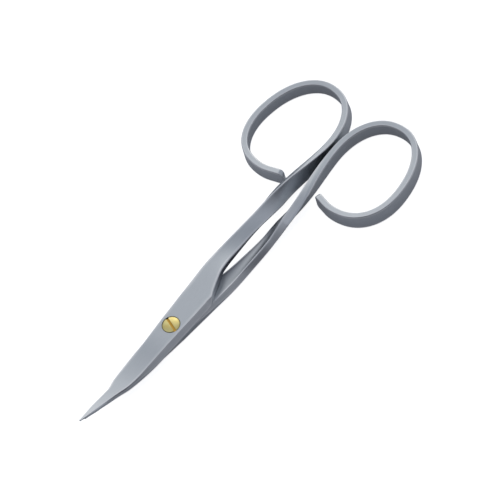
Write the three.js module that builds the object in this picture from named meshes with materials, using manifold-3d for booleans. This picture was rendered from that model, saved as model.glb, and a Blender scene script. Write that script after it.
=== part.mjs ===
// Nail scissors: two steel halves on a brass screw. Each half is blade, twisted shank and finger loop in one.
// Millimetres. The pivot axis is Z, the scissors lie on Z = 0, the loops are towards +X, the tips towards -X.
// The upper half's loop is on the +Y side. The lower half is its mirror image in plan, one layer down.
import * as THREE from "three";
import { mergeVertices } from "three/addons/utils/BufferGeometryUtils.js";
import Module from "manifold-3d";

const wasm = await Module();
wasm.setup();

// Overall
const BLADE_LENGTH = 30.6; // pivot axis to tip
const HANDLE_LENGTH = 69.8; // pivot axis to the far end of the loops
const PLATE_THICKNESS = 1.95; // one half at the pivot
const RIDE_GAP = 0.1; // between the halves where they ride on each other
const ROUND = 0.25; // broken edges of the shank and loop
const BLADE_ROUND = 0.125; // broken edges of the blade

// Blade. A place on its outline is [share of the length, share of the width].
const POINT_LENGTH = 13.6; // from the belly, where the blade starts to narrow, to the tip
const POINT_EDGE = [0.3, 0.45]; // place on the point's cutting side, from the belly
const POINT_SPINE = [0.45, 0.55]; // place on the point's spine, from the belly
const SLIM_TIP = 0.77; // share of the point's length where it is down to twice the tip's width
const TIP_WIDTH = 0.4;
const TIP_THICKNESS = 0.55;
const BELLY_THICKNESS = 1.35;
const BELLY_EDGE = 1.85; // cutting edge to the middle line at the belly
const BELLY_SPINE = 2.85; // spine to the middle line at the belly
const WAIST_EDGE = 2.3; // cutting edge to the middle line half-way from belly to pivot
const PIVOT_EDGE = 2.95; // cutting side to the middle line at the pivot
const PIVOT_SPINE = 3.5; // spine to the middle line at the pivot
const TIP_RISE = 3.3; // how far the curve of the blades lifts the tips
const BEND_START = 8; // radius from the pivot where that curve starts
const SPINE_BEVEL = 0.65; // run of the ground bevel along the spine
const SPINE_LAND = 0.35; // upright strip under that bevel
const BELLY_GROUND = 0.6; // share of that bevel that is left at the belly
const EDGE_BEVEL = 0.35; // run of the bevel that makes the cutting edge
const EDGE_LAND = 0.15;
const EDGE_END = 5.9; // pivot axis to where that bevel starts to run out
const EDGE_FADE = 2.95; // length that it runs out over
const LOWER_TRIM = 0.75; // how much narrower the lower blade is along the spine of its point

// Shank. Places along it are shares of the way from the start of the twist to the loop.
const SHOULDER_X = 9.6; // corner where the plate narrows to the shank
const SHOULDER_WIDTH = 3.6; // that corner to the middle line
const SHOULDER_ROUND = 1.2; // length of the corner's rounding
const SCOOP = [
  [0.33, 0.41],
  [0.68, 0.735],
]; // the narrowing after the corner: share of the way to the twist, share of the narrowing
const TWIST_START = 17.5;
const TWIST = [
  [0.12, 9],
  [0.25, 20.5],
  [0.33, 30],
  [0.41, 42],
  [0.49, 51],
  [0.57, 57.5],
  [0.74, 67],
]; // degrees along the shank
const HIP_WIDTH = 4.25; // width of the shank where the twist starts
const HIP_Y = 2.03; // its middle there to the middle line
const NECK = 0.3; // where the shank is narrowest
const DRAWN_IN = 0.56; // share of the narrowing to the neck that the first third of the way takes
const NECK_WIDTH = 3.25;
const NECK_THICKNESS = 1.65;
const NECK_Y = 2.5;
const BOW = 0.56; // where it bows out most
const BOW_Y = 2.7;
const BOW_RETURN = [0.64, 0.86]; // along the shank past that, share of the bow that is left
const FLANK = 0.85; // how far the inner face is set back along the shank's outer side, where the twist starts
const NECK_FLANK = 0.64; // and from the neck to the bow
const FLANK_LAND = 0.5; // upright strip over that slope
const LOWER_BOW = 0.35; // how much further out the lower half's shank bows

// Finger loop: an oval of strip on edge
const STRIP_THICKNESS = 1.5;
const LOOP_LENGTH = 24.1; // inside, along the oval
const LOOP_WIDTH = 18.4; // inside, across it
const FULLNESS = 2.2; // 2 is an ellipse, more is squarer
const LOOP_TAPER = 0.05; // share by which its near end is wider than its middle, and its far end narrower
const LOOP_TILT = THREE.MathUtils.degToRad(6); // of the oval, its far end towards the middle line
const LOOPS_GAP = 0.66; // between the two loops where they come closest
const JOIN = 0.585; // share along the shank where it starts to run into the oval
const JOIN_ANGLE = THREE.MathUtils.degToRad(-83); // place on the oval where that run ends
const LEG_ANGLE = THREE.MathUtils.degToRad(196.5); // place on the oval where the free end runs out straight
const LOOP_END = 10.4; // end of the shank's twist to the far end of the loop, if there were no oval
const MOUTH = 0.75; // between a loop's free end and its shank, in plan
const LEAN = 3; // degrees that the strip leans, so its lower edge is the wider one round the loop
const BULLET_LENGTH = 2.2; // rounded length of the free end
const BULLET_CAP = 0.25; // share of the strip's height left at the very end

// Pivot screw
const HEAD_DIAMETER = 4.1;
const HEAD_SIDE = 0.7; // upright side of the head
const HEAD_DOME = 0.4; // rise of the dome above that side
const COUNTERBORE_DEPTH = 0.85;
const SHOULDER_DIAMETER = 2.6;
const THREAD_DIAMETER = 2;
const SLOT_WIDTH = 0.75;
const SLOT_DEPTH = 0.6;
const SLOT_ANGLE = THREE.MathUtils.degToRad(70);
const HEAD_CLEARANCE = 0.25; // round the head
const RUNNING_CLEARANCE = 0.05; // round the shoulder and the thread, and under the head
const CUT_OVERRUN = 1;

// Fineness
const BLADE_STEPS = 26;
const SHANK_STEPS = 21;
const JOIN_STEPS = 8;
const OVAL_STEPS = 34;
const OVAL_SPOTS = 360; // to find how far the oval reaches
const SLOPE_STEP = 0.5; // to find which way a curve runs
const ANGLE_STEP = THREE.MathUtils.degToRad(0.5);
const BULLET_STEPS = 5;
const ROUND_SEGMENTS = 40;
const DOME_STEPS = 6;

// Levels and places that follow from the sizes above
const STACK = 2 * PLATE_THICKNESS + RIDE_GAP;
const STRIP_HEIGHT = STACK; // so both loops stand on the same surface as the pivot
const LOWER_INNER = PLATE_THICKNESS;
const UPPER_INNER = PLATE_THICKNESS + RIDE_GAP;
const BELLY_X = POINT_LENGTH - BLADE_LENGTH;
const LOOP_START_Y = (LOOPS_GAP + STRIP_THICKNESS) / 2;
const TWIST_END = HANDLE_LENGTH - LOOP_END;
const JOIN_X = TWIST_START + JOIN * (TWIST_END - TWIST_START);
const LEAN_SLOPE = Math.tan(THREE.MathUtils.degToRad(LEAN));

const { lerp } = THREE.MathUtils;

// A smooth curve through points of rising x that never swings past them.
function through(points) {
  const rate = (i) => (points[i + 1][1] - points[i][1]) / (points[i + 1][0] - points[i][0]);
  const slopes = points.map((point, i) => {
    if (i === 0 || i === points.length - 1) return rate(i === 0 ? 0 : i - 1);
    const before = rate(i - 1);
    const after = rate(i);
    return before * after > 0 ? (2 * before * after) / (before + after) : 0;
  });
  return (x) => {
    if (x <= points[0][0]) return points[0][1];
    const next = points.findIndex((point) => point[0] >= x);
    if (next < 0) return points.at(-1)[1];
    const [x0, y0] = points[next - 1];
    const [x1, y1] = points[next];
    const span = x1 - x0;
    const t = (x - x0) / span;
    const rise = y1 - y0;
    const bow = t * (1 - t) * ((slopes[next - 1] * span - rise) * (1 - t) - (slopes[next] * span - rise) * t);
    return y0 + rise * t + bow;
  };
}

// A place along the point from the belly, and along the shank from the start of the twist.
const pointX = (share) => BELLY_X - share * POINT_LENGTH;
const shankX = (share) => TWIST_START + share * (TWIST_END - TWIST_START);

// The shank before it is twisted: share of the way along it, its middle to the middle line, its width.
const shankLine = [
  [0, HIP_Y, HIP_WIDTH],
  [NECK / 3, lerp(HIP_Y, NECK_Y, DRAWN_IN), lerp(HIP_WIDTH, NECK_WIDTH, DRAWN_IN)],
  [NECK, NECK_Y, NECK_WIDTH],
  [BOW, BOW_Y, STRIP_HEIGHT],
  [BOW_RETURN[0], lerp(LOOP_START_Y, BOW_Y, BOW_RETURN[1]), STRIP_HEIGHT],
  [1, LOOP_START_Y, STRIP_HEIGHT],
];
const hipRight = HIP_Y - HIP_WIDTH / 2;

// Edges of the flat blank of a half: the cutting side on the left, the spine on the right.
const blankLeft = through([
  [pointX(1), TIP_WIDTH / 2],
  [pointX(SLIM_TIP), TIP_WIDTH],
  [pointX(POINT_EDGE[0]), POINT_EDGE[1] * BELLY_EDGE],
  [BELLY_X, BELLY_EDGE],
  [BELLY_X / 2, WAIST_EDGE],
  [0, PIVOT_EDGE],
  [SHOULDER_X, SHOULDER_WIDTH],
  ...shankLine.map(([along, middle, width]) => [shankX(along), middle + width / 2]),
]);
const blankRight = through([
  [pointX(1), -TIP_WIDTH / 2],
  [pointX(SLIM_TIP), -TIP_WIDTH],
  [pointX(POINT_SPINE[0]), -POINT_SPINE[1] * BELLY_SPINE],
  [BELLY_X, -BELLY_SPINE],
  [BELLY_X / 2, -PIVOT_SPINE],
  [SHOULDER_X - SHOULDER_ROUND, -SHOULDER_WIDTH],
  [SHOULDER_X, -SHOULDER_WIDTH + BLADE_ROUND],
  ...SCOOP.map(([along, narrowed]) => [
    lerp(SHOULDER_X, TWIST_START, along),
    lerp(-SHOULDER_WIDTH, hipRight, narrowed),
  ]),
  ...shankLine.map(([along, middle, width]) => [shankX(along), middle - width / 2]),
]);
const lowerTrim = through([
  [pointX(1), 0],
  [pointX(POINT_SPINE[0]), LOWER_TRIM],
  [BELLY_X, LOWER_TRIM / 2],
  [-PIVOT_SPINE, 0],
]);
const lowerBow = through([
  [TWIST_START, 0],
  [shankX(NECK), LOWER_BOW],
  [shankX(BOW), LOWER_BOW],
  [TWIST_END, 0],
]);
const thickness = through([
  [pointX(1), TIP_THICKNESS],
  [BELLY_X, BELLY_THICKNESS],
  [-PIVOT_SPINE, PLATE_THICKNESS],
  [SHOULDER_X, PLATE_THICKNESS],
  [shankX(NECK), NECK_THICKNESS],
  [TWIST_END, STRIP_THICKNESS],
]);
const twistDegrees = through([
  [SHOULDER_X, 0],
  [TWIST_START, 0],
  ...TWIST.map(([along, degrees]) => [shankX(along), degrees]),
  [TWIST_END, 90 - LEAN],
]);

// How much of each bevel is there, from none (a broken edge) to all of it.
const edgeGround = through([
  [pointX(1), 0],
  [BELLY_X, 1],
  [-EDGE_END, 1],
  [EDGE_FADE - EDGE_END, 0],
]);
const spineGround = through([
  [pointX(1), 0],
  [BELLY_X, BELLY_GROUND],
  [BELLY_X / 2, 1],
  [SHOULDER_X - SHOULDER_ROUND, 1],
  [SHOULDER_X, 0],
]);
const flankSlope = through([
  [0, 0],
  [TWIST_START, 1],
  [shankX(NECK), NECK_FLANK / FLANK],
  [shankX(BOW), NECK_FLANK / FLANK],
  [TWIST_END, 0],
]);
const edgeRound = through([
  [0, BLADE_ROUND],
  [SHOULDER_X, ROUND],
]);

// How far the curve of the blades lifts a point at a radius from the pivot, so that they pass when they turn.
function bladeRise(radius) {
  const along = Math.max(0, radius - BEND_START) / (BLADE_LENGTH - BEND_START);
  return TIP_RISE * along ** 2;
}

// A bar's section with each corner cut back by [run, depth], as eight points from the outer left corner.
// Its outer face is up on the upper half (side 1) and down on the lower half (side -1).
function barSection(width, thick, side, cuts) {
  const corner = (across, face, [run, depth]) => {
    const onFace = [across * (width / 2 - run), (face * side * thick) / 2];
    const onSide = [(across * width) / 2, face * side * (thick / 2 - depth)];
    return across === face ? [onFace, onSide] : [onSide, onFace];
  };
  return [
    ...corner(1, 1, cuts.edge),
    ...corner(1, -1, cuts.flank),
    ...corner(-1, -1, cuts.plain),
    ...corner(-1, 1, cuts.spine),
  ];
}

// A section's points set across the heading at a place of the half's middle line, and turned by the twist.
function setSection(section, place, heading, angle, level, side) {
  return section.map(([a, b]) => {
    const out = b * Math.sin(angle) - a * Math.cos(angle);
    const x = place.x + out * Math.sin(heading);
    const y = place.y - out * Math.cos(heading);
    const z = level + a * Math.sin(angle) + b * Math.cos(angle);
    const rise = place.x < 0 ? bladeRise(Math.hypot(x, y)) : 0;
    return new THREE.Vector3(x, side * y, z + rise);
  });
}

// Middle line, width, thickness and twist of a half at x on the blade, plate or shank.
function barAt(x, side) {
  const left = blankLeft(x) + (side < 0 ? lowerBow(x) : 0);
  const right = blankRight(x) + (side < 0 ? lowerBow(x) + lowerTrim(x) : 0);
  const angle = THREE.MathUtils.degToRad(twistDegrees(x));
  return { place: new THREE.Vector2(x, (left + right) / 2), width: left - right, thick: thickness(x), angle };
}

// Outline of a bar with these cuts. The twisted bar is no wider than the room that the height of the stack leaves it.
function barRing({ place, width, thick, angle }, heading, cuts, side) {
  const room = (STACK - thick * Math.cos(angle)) / Math.sin(angle);
  const fitted = Math.min(width, room);
  const ridge = (fitted * Math.sin(angle) + thick * Math.cos(angle)) / 2;
  const innerLevel = side > 0 ? UPPER_INNER : LOWER_INNER;
  const onPlane = side > 0 ? STACK - ridge : ridge;
  const level = place.x < 0 ? innerLevel + (side * thick) / 2 : onPlane;
  return setSection(barSection(fitted, thick, side, cuts), place, heading, angle, level, side);
}

// A corner's cut, from a broken edge to the whole of a bevel with this run and upright land.
function ground(share, round, thick, run, land) {
  return [lerp(round, run, share), lerp(round, thick - land, share)];
}

// Outline of a half at x on the blade, plate or shank.
function bladeRing(x, side) {
  const bar = barAt(x, side);
  const round = edgeRound(x);
  const cuts = {
    edge: ground(edgeGround(x), round, bar.thick, EDGE_BEVEL, EDGE_LAND),
    spine: ground(spineGround(x), round, bar.thick, SPINE_BEVEL, SPINE_LAND),
    flank: ground(flankSlope(x), round, bar.thick, FLANK, FLANK_LAND),
    plain: [round, round],
  };
  return barRing(bar, 0, cuts, side);
}

// A point of the oval about its own middle.
function ovalPoint(angle) {
  const long = (LOOP_LENGTH + STRIP_THICKNESS) / 2;
  const short = (LOOP_WIDTH + STRIP_THICKNESS) / 2;
  const reach = Math.abs(Math.cos(angle) / long) ** FULLNESS + Math.abs(Math.sin(angle) / short) ** FULLNESS;
  const radius = reach ** (-1 / FULLNESS);
  const along = radius * Math.cos(angle);
  const across = radius * Math.sin(angle) * (1 - (LOOP_TAPER * along) / long);
  return new THREE.Vector2(along, across).rotateAround(new THREE.Vector2(), -LOOP_TILT);
}

const ovalSpots = Array.from({ length: OVAL_SPOTS }, (_, i) => ovalPoint((2 * Math.PI * i) / OVAL_SPOTS));
const LOOP_X = HANDLE_LENGTH - STRIP_THICKNESS / 2 - Math.max(...ovalSpots.map((spot) => spot.x));
const LOOP_Y = LOOP_START_Y - Math.min(...ovalSpots.map((spot) => spot.y));

// The loop's middle line at a place of the oval, and which way it runs there.
const onLoop = (angle) => ovalPoint(angle).add(new THREE.Vector2(LOOP_X, LOOP_Y));
const loopWay = (angle) => ovalPoint(angle + ANGLE_STEP).sub(ovalPoint(angle - ANGLE_STEP)).normalize();
const headingOf = (way) => Math.atan2(way.y, way.x);

// Outlines of the run from the shank into the oval, where the twist is finished and the flank's slope runs out.
function joinRings(side) {
  const shank = barAt(JOIN_X, side);
  const ahead = barAt(JOIN_X + SLOPE_STEP, side).place;
  const way = ahead.sub(barAt(JOIN_X - SLOPE_STEP, side).place).normalize();
  const end = onLoop(JOIN_ANGLE);
  const third = shank.place.distanceTo(end) / 3;
  const run = new THREE.CubicBezierCurve(
    shank.place,
    shank.place.clone().addScaledVector(way, third),
    end.clone().addScaledVector(loopWay(JOIN_ANGLE), -third),
    end,
  );
  const upright = THREE.MathUtils.degToRad(90 - LEAN);
  const rings = [];
  for (let i = 1; i < JOIN_STEPS; i++) {
    const share = i / JOIN_STEPS;
    const bar = {
      place: run.getPoint(share),
      width: STRIP_HEIGHT,
      thick: lerp(shank.thick, STRIP_THICKNESS, share),
      angle: lerp(shank.angle, upright, share),
    };
    const broken = [ROUND, ROUND];
    const flank = ground(lerp(flankSlope(JOIN_X), 0, share), ROUND, bar.thick, FLANK, FLANK_LAND);
    const cuts = { edge: broken, spine: broken, flank, plain: broken };
    rings.push(barRing(bar, headingOf(run.getTangent(share)), cuts, side));
  }
  return rings;
}

// Outline of the loop's strip at a point of its middle line, standing on edge across the given heading.
function stripRing(point, heading, height, side) {
  const cut = [ROUND, ROUND];
  const section = barSection(height, STRIP_THICKNESS, side, { edge: cut, spine: cut, flank: cut, plain: cut });
  const level = side > 0 ? STACK - STRIP_HEIGHT / 2 : STRIP_HEIGHT / 2;
  return section.map(([a, b]) => {
    const out = b - a * LEAN_SLOPE;
    const x = point.x + out * Math.sin(heading);
    const y = point.y - out * Math.cos(heading);
    return new THREE.Vector3(x, side * y, level + a);
  });
}

// Outlines round the oval, then along the free end's straight leg to its rounded end.
function loopRings(side) {
  const rings = [];
  for (let i = 0; i <= OVAL_STEPS; i++) {
    const angle = lerp(JOIN_ANGLE, LEG_ANGLE, i / OVAL_STEPS);
    rings.push(stripRing(onLoop(angle), headingOf(loopWay(angle)), STRIP_HEIGHT, side));
  }
  const direction = loopWay(LEG_ANGLE);
  const legStart = onLoop(LEG_ANGLE);
  const shankSide = Math.max(...bladeRing(legStart.x, side).map((point) => side * point.y));
  const legLength = (legStart.y - shankSide - MOUTH) / -direction.y;
  for (let i = 0; i <= BULLET_STEPS; i++) {
    const share = i / BULLET_STEPS;
    const along = legLength - BULLET_LENGTH * (1 - Math.sin((share * Math.PI) / 2));
    const height = STRIP_HEIGHT * (BULLET_CAP + (1 - BULLET_CAP) * Math.cos((share * Math.PI) / 2));
    rings.push(stripRing(legStart.clone().addScaledVector(direction, along), headingOf(direction), height, side));
  }
  return rings;
}

// A closed skin over rings of equal count, with a flat end on the first and the last.
function loft(rings) {
  const count = rings[0].length;
  const positions = rings.flat().flatMap((point) => point.toArray());
  const index = [];
  for (let r = 0; r + 1 < rings.length; r++) {
    for (let i = 0; i < count; i++) {
      const j = (i + 1) % count;
      const [a, b, c, d] = [r * count + i, r * count + j, (r + 1) * count + j, (r + 1) * count + i];
      index.push(a, c, b, a, d, c);
    }
  }
  const last = (rings.length - 1) * count;
  for (let i = 1; i + 1 < count; i++) {
    index.push(0, i, i + 1);
    index.push(last, last + i + 1, last + i);
  }
  const geometry = new THREE.BufferGeometry();
  geometry.setAttribute("position", new THREE.Float32BufferAttribute(positions, 3));
  geometry.setIndex(index);
  return geometry;
}

function toSolid(geometry) {
  const bare = geometry.clone();
  bare.deleteAttribute("normal");
  bare.deleteAttribute("uv");
  const merged = mergeVertices(bare);
  return new wasm.Manifold(
    new wasm.Mesh({
      numProp: 3,
      vertProperties: merged.attributes.position.array,
      triVerts: new Uint32Array(merged.index.array),
    }),
  );
}

function toGeometry(solid) {
  const mesh = solid.getMesh();
  const geometry = new THREE.BufferGeometry();
  geometry.setAttribute("position", new THREE.BufferAttribute(mesh.vertProperties, 3));
  geometry.setIndex(new THREE.BufferAttribute(mesh.triVerts, 1));
  geometry.computeVertexNormals();
  return geometry;
}

// A round plug on the pivot axis, to cut a hole with.
function plug(diameter, low, high) {
  const geometry = new THREE.CylinderGeometry(diameter / 2, diameter / 2, high - low, ROUND_SEGMENTS);
  geometry.rotateX(Math.PI / 2);
  geometry.translate(0, 0, (low + high) / 2);
  return toSolid(geometry);
}

function halfBlank(side) {
  const rings = [];
  for (let i = 0; i <= BLADE_STEPS; i++) {
    rings.push(bladeRing(-BLADE_LENGTH * (1 - i / BLADE_STEPS), side));
  }
  for (let i = 1; i <= SHANK_STEPS; i++) {
    rings.push(bladeRing((JOIN_X * i) / SHANK_STEPS, side));
  }
  rings.push(...joinRings(side), ...loopRings(side));
  return toSolid(loft(rings));
}

function upperHalf() {
  const floor = STACK - COUNTERBORE_DEPTH;
  const counterbore = plug(HEAD_DIAMETER + 2 * HEAD_CLEARANCE, floor, STACK + CUT_OVERRUN);
  const hole = plug(SHOULDER_DIAMETER + 2 * RUNNING_CLEARANCE, -CUT_OVERRUN, STACK);
  return halfBlank(1).subtract(counterbore).subtract(hole);
}

function lowerHalf() {
  const hole = plug(THREAD_DIAMETER + 2 * RUNNING_CLEARANCE, -CUT_OVERRUN, STACK);
  return halfBlank(-1).subtract(hole);
}

function pivotScrew() {
  const underHead = STACK - COUNTERBORE_DEPTH + RUNNING_CLEARANCE;
  const underShoulder = LOWER_INNER + RUNNING_CLEARANCE;
  const domeFoot = underHead + HEAD_SIDE;
  const headRadius = HEAD_DIAMETER / 2;
  const profile = [
    [0, 0],
    [THREAD_DIAMETER / 2, 0],
    [THREAD_DIAMETER / 2, underShoulder],
    [SHOULDER_DIAMETER / 2, underShoulder],
    [SHOULDER_DIAMETER / 2, underHead],
    [headRadius, underHead],
  ];
  for (let i = 0; i <= DOME_STEPS; i++) {
    const angle = ((i / DOME_STEPS) * Math.PI) / 2;
    profile.push([headRadius * Math.cos(angle), domeFoot + HEAD_DOME * Math.sin(angle)]);
  }
  profile.at(-1)[0] = 0;
  const turned = new THREE.LatheGeometry(profile.map(([r, z]) => new THREE.Vector2(r, z)), ROUND_SEGMENTS);
  turned.rotateX(Math.PI / 2);
  const slot = new THREE.BoxGeometry(HEAD_DIAMETER + CUT_OVERRUN, SLOT_WIDTH, SLOT_DEPTH + CUT_OVERRUN);
  slot.rotateZ(SLOT_ANGLE);
  slot.translate(0, 0, domeFoot + HEAD_DOME - SLOT_DEPTH + (SLOT_DEPTH + CUT_OVERRUN) / 2);
  return toSolid(turned).subtract(toSolid(slot));
}

const steel = new THREE.MeshStandardMaterial({ color: 0xaeb3bb, roughness: 0.36, metalness: 1 });
const brass = new THREE.MeshStandardMaterial({ color: 0xd6b765, roughness: 0.28, metalness: 1 });

const scissors = new THREE.Group();
const pieces = [
  ["upper_half", upperHalf(), steel],
  ["lower_half", lowerHalf(), steel],
  ["pivot_screw", pivotScrew(), brass],
];
for (const [name, solid, material] of pieces) {
  const mesh = new THREE.Mesh(toGeometry(solid), material);
  mesh.name = name;
  scissors.add(mesh);
}

export default scissors;
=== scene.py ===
"""Looks of the nail scissors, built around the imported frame.

Sizes are in millimetres, in the frame of the part: the pivot axis is Z, the scissors lie on Z = 0, the
loops are towards +X and the upper half's loop is on the +Y side. A mesh gets metres when it is made. A side
is 1 for the upper half and -1 for the lower one, which is its mirrored mate.
"""
import math

import bmesh
import bpy
import numpy as np
from mathutils import Matrix, Vector


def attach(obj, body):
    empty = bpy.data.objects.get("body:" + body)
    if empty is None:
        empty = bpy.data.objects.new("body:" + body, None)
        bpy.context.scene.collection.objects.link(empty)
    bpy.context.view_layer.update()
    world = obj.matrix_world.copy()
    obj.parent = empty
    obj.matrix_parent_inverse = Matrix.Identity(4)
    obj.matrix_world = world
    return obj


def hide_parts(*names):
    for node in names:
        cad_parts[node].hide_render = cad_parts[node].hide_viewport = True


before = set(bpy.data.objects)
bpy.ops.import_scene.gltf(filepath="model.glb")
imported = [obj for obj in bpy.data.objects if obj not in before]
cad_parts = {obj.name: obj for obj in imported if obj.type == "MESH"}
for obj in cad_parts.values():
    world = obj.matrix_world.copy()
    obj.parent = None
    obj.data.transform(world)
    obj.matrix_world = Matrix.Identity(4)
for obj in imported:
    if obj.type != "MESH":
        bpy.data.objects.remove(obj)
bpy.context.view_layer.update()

METRE = 0.001

# Blade, with places on its point as shares of the way from the belly to the tip
BLADE_LENGTH = 30.6
PLATE_THICKNESS = 1.95
RIDE_GAP = 0.1
POINT_LENGTH = 13.6
POINT_EDGE = ((0.06, 1.78), (0.21, 1.13), (0.37, 1.05), (0.63, 0.86), (0.82, 0.46))
POINT_SPINE = ((0.27, 1.86), (0.55, 1.22), (0.83, 0.48))
TIP_WIDTH = 0.2
TIP_THICKNESS = 0.36
TIP_ROUND = 0.2
BELLY_THICKNESS = 1.35
BELLY_EDGE = 1.93
BELLY_SPINE = 2.7
WAIST_EDGE = 2.42
WAIST_SPINE = 3.4
PIVOT_EDGE = 2.87
PIVOT_SPINE = 3.5
TIP_RISE = 3.3
BEND_START = 8
SPINE_BEVEL = 0.65
SPINE_LAND = 0.35
BELLY_GROUND = 0.25
POINT_GROUND = 0.4
POINT_GROUND_AT = 0.5
EDGE_BEVEL = 0.35
EDGE_LAND = 0.15
EDGE_END = 8.5
EDGE_FADE = 8.2
LOWER_TRIM = 0.5
LOWER_TRIM_AT = 0.5
LOWER_EDGE_TRIM = 0.2
LOWER_EDGE_TRIM_AT = (0.8, 0.5)
LOWER_EDGE_TRIM_END = 0.2
LOWER_SHORT = 1.1

# Shank, with places along it as shares of the way from the start of the twist to the loop
SHOULDER_X = 9.6
SHOULDER_WIDTH = 3.6
SHOULDER_ROUND = 1.2
SHOULDER_STEP = 0.125
SCOOP = ((0.33, 0.41), (0.68, 0.735))
TWIST_START = 17.5
TWIST = ((0.12, 9), (0.25, 20.5), (0.33, 29), (0.41, 39.5), (0.49, 47.5), (0.57, 53.5), (0.74, 65))
LOWER_TWIST = ((0.12, 9), (0.25, 20.5), (0.33, 31), (0.41, 48), (0.5, 61), (0.6, 70))
LOWER_TWIST_HASTE = 4
HIP_WIDTH = 4.25
HIP_Y = 2.03
NECK = 0.3
DRAWN_IN = 0.56
NECK_WIDTH = 3.25
NECK_THICKNESS = 1.65
NECK_Y = 2.5
BOW = 0.56
BOW_Y = 2.62
BOW_RETURN = (0.64, 0.86)
FLANK = 0.65
NECK_FLANK = 0.5
FLANK_LAND = 0.2
FLANK_END = 0.57
LOWER_FLANK_END = 0.52
HOLLOW = 0.22
HOLLOW_END = (0.3, 0.5)
LOWER_BOW = 0.35
LOWER_BOW_FADE = ((0.48, 0.7), (0.62, 0))
LOWER_TALLER = 0.2
LOWER_SWELL = 0.6
LOWER_SWELL_AT = 0.5

# Finger loop, an oval of strip on edge
HANDLE_LENGTH = 69.76
STRIP_THICKNESS = 1.5
LOOP_LENGTH = 24.1
LOOP_WIDTH = 18.37
FULLNESS = 2.2
LOOP_TAPER = 0.05
LOOP_TILT = math.radians(6)
LOOPS_GAP = 0.66
JOIN = 0.585
JOIN_ANGLE = math.radians(-83)
LEG_ANGLE = math.radians(196.5)
LOOP_END = 10.4
MOUTH = 0.45
LOWER_MOUTH = 1.2
LEAN = 3
BULLET_LENGTH = 1.3

# Broken edges
TIP_CORNER = 0.02
BLADE_CORNER = 0.05
SHANK_CORNER = 0.15
BEVEL_CORNER = 0.05

# Pivot screw
HEAD_DIAMETER = 4.1
HEAD_SIDE = 0.7
HEAD_DOME = 0.4
CROWN_DIAMETER = 0.9
COUNTERBORE_DEPTH = 0.85
COUNTERBORE_CHAMFER = 0.03
SHOULDER_DIAMETER = 2.6
THREAD_DIAMETER = 2
SLOT_WIDTH = 0.57
SLOT_DEPTH = 0.6
SLOT_ANGLE = math.radians(70)
HEAD_CLEARANCE = 0.08
RUNNING_CLEARANCE = 0.05
SCREW_ROUND = 0.06
CUT_OVERRUN = 1

# Painted highlight on broken edges and painted shade on the walls in the gap, with the places round a
# section and along the shank that have them
SECTION_CORNERS = 8
FLANK_FOOT = 2
INNER_FACE = 3
GAP_WALL = 5
MARGIN_HIGHLIGHT = 0.6
FLANK_FOOT_FADE = (0.36, 0.46)
GAP_SHADE_START = 0.08
GAP_SHADE_END = (0.4, 0.58)
INNER_FACE_SHADE = 0.85
INNER_FACE_SHADE_END = 0.85

# Fineness
STATION = 0.25
FILLET_POINTS = 5
FILLET_REACH = 0.47
FACE_POINTS = 6
FACET_POINTS = 2
TIP_STEPS = 8
TIP_FIRST_STEP = 0.02
BULLET_STEPS = 24
OVAL_SPOTS = 1440
ROUND_SEGMENTS = 96
DOME_STEPS = 16
SCREW_ROUND_STEPS = 3
BELL_REACH = 3
SMOOTH_EDGE = 0.45
SMOOTH_TWIST = 1.8
SHARP_ANGLE = math.radians(38)
FLAT_FACE_WEIGHT = 90
WELD = 0.001
SLIVER = 0.0005
LEAST_LENGTH = 1e-9
LEAST_SINE = 1e-6

# Levels and places that follow from the sizes above
STACK = 2 * PLATE_THICKNESS + RIDE_GAP
LOWER_INNER = PLATE_THICKNESS
UPPER_INNER = PLATE_THICKNESS + RIDE_GAP
BELLY_X = POINT_LENGTH - BLADE_LENGTH
LOOP_START_Y = (LOOPS_GAP + STRIP_THICKNESS) / 2
LOOP_TWIST = 90 - LEAN
TWIST_END = HANDLE_LENGTH - LOOP_END
JOIN_X = TWIST_START + JOIN * (TWIST_END - TWIST_START)
BORE_RADIUS = HEAD_DIAMETER / 2 + HEAD_CLEARANCE
UNDER_HEAD = STACK - COUNTERBORE_DEPTH + RUNNING_CLEARANCE
DOME_FOOT = UNDER_HEAD + HEAD_SIDE
SLOT_FLOOR = DOME_FOOT + HEAD_DOME - SLOT_DEPTH


def through(points):
    """A smooth curve through points of rising x that never swings past them."""
    x, y = np.array(points, float).T
    rate = np.diff(y) / np.diff(x)
    before, after = rate[:-1], rate[1:]
    same = before * after > 0
    inner = np.where(same, 2 * before * after / np.where(same, before + after, 1), 0)
    slope = np.concatenate([rate[:1], inner, rate[-1:]])

    def curve(at):
        at = np.clip(at, x[0], x[-1])
        i = np.clip(np.searchsorted(x, at) - 1, 0, len(rate) - 1)
        span = x[i + 1] - x[i]
        rise = y[i + 1] - y[i]
        t = (at - x[i]) / span
        bow = t * (1 - t) * ((slope[i] * span - rise) * (1 - t) - (slope[i + 1] * span - rise) * t)
        return y[i] + rise * t + bow

    return curve


def lerp(a, b, share):
    return a + (b - a) * share


def smoothed(values, length):
    """Values at even stations, averaged with a bell of the given half length."""
    reach = max(1, round(BELL_REACH * length / STATION))
    bell = np.exp(-0.5 * (np.arange(-reach, reach + 1) * STATION / length) ** 2)
    start = 2 * values[0] - values[reach:0:-1]
    end = 2 * values[-1] - values[-2 : -reach - 2 : -1]
    return np.convolve(np.concatenate([start, values, end]), bell / bell.sum(), "valid")


def point_x(share):
    return BELLY_X - share * POINT_LENGTH


def shank_x(share):
    return TWIST_START + share * (TWIST_END - TWIST_START)


# The shank before it is twisted: share of the way along it, its middle to the middle line, its width
SHANK_LINE = (
    (0, HIP_Y, HIP_WIDTH),
    (NECK / 3, lerp(HIP_Y, NECK_Y, DRAWN_IN), lerp(HIP_WIDTH, NECK_WIDTH, DRAWN_IN)),
    (NECK, NECK_Y, NECK_WIDTH),
    (BOW, BOW_Y, STACK),
    (BOW_RETURN[0], lerp(LOOP_START_Y, BOW_Y, BOW_RETURN[1]), STACK),
    (1, LOOP_START_Y, STACK),
)

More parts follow.
